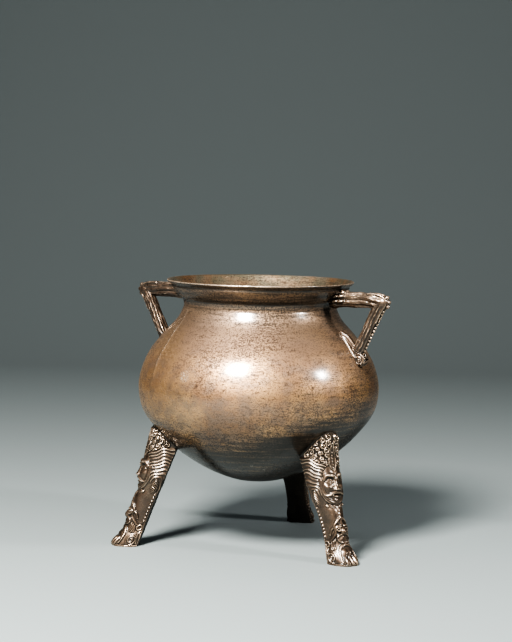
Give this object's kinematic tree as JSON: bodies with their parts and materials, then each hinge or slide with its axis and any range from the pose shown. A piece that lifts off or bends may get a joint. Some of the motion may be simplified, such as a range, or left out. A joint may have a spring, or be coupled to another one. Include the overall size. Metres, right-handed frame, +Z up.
{
  "type": "bronze tripod cauldron",
  "caption": "Round-bellied cast bronze cooking cauldron with a flared rim, two angular handles and carved mask-and-paw legs.",
  "frame": {"origin": "on the floor, at the middle of the box around the part; the bowl's own axis stands at x 7.9 mm, y -8.6 mm", "axes": "+Z up along the bowl's axis; the picture looks along +Y"},
  "size_m": [0.2526, 0.2411, 0.247],
  "materials": {
    "bronze": "warm brown patinated bronze, turned bowl, worn bright on the carving"
  },
  "bodies": {
    "root": {"cauldron": "bronze"}
  },
  "joints": []
}
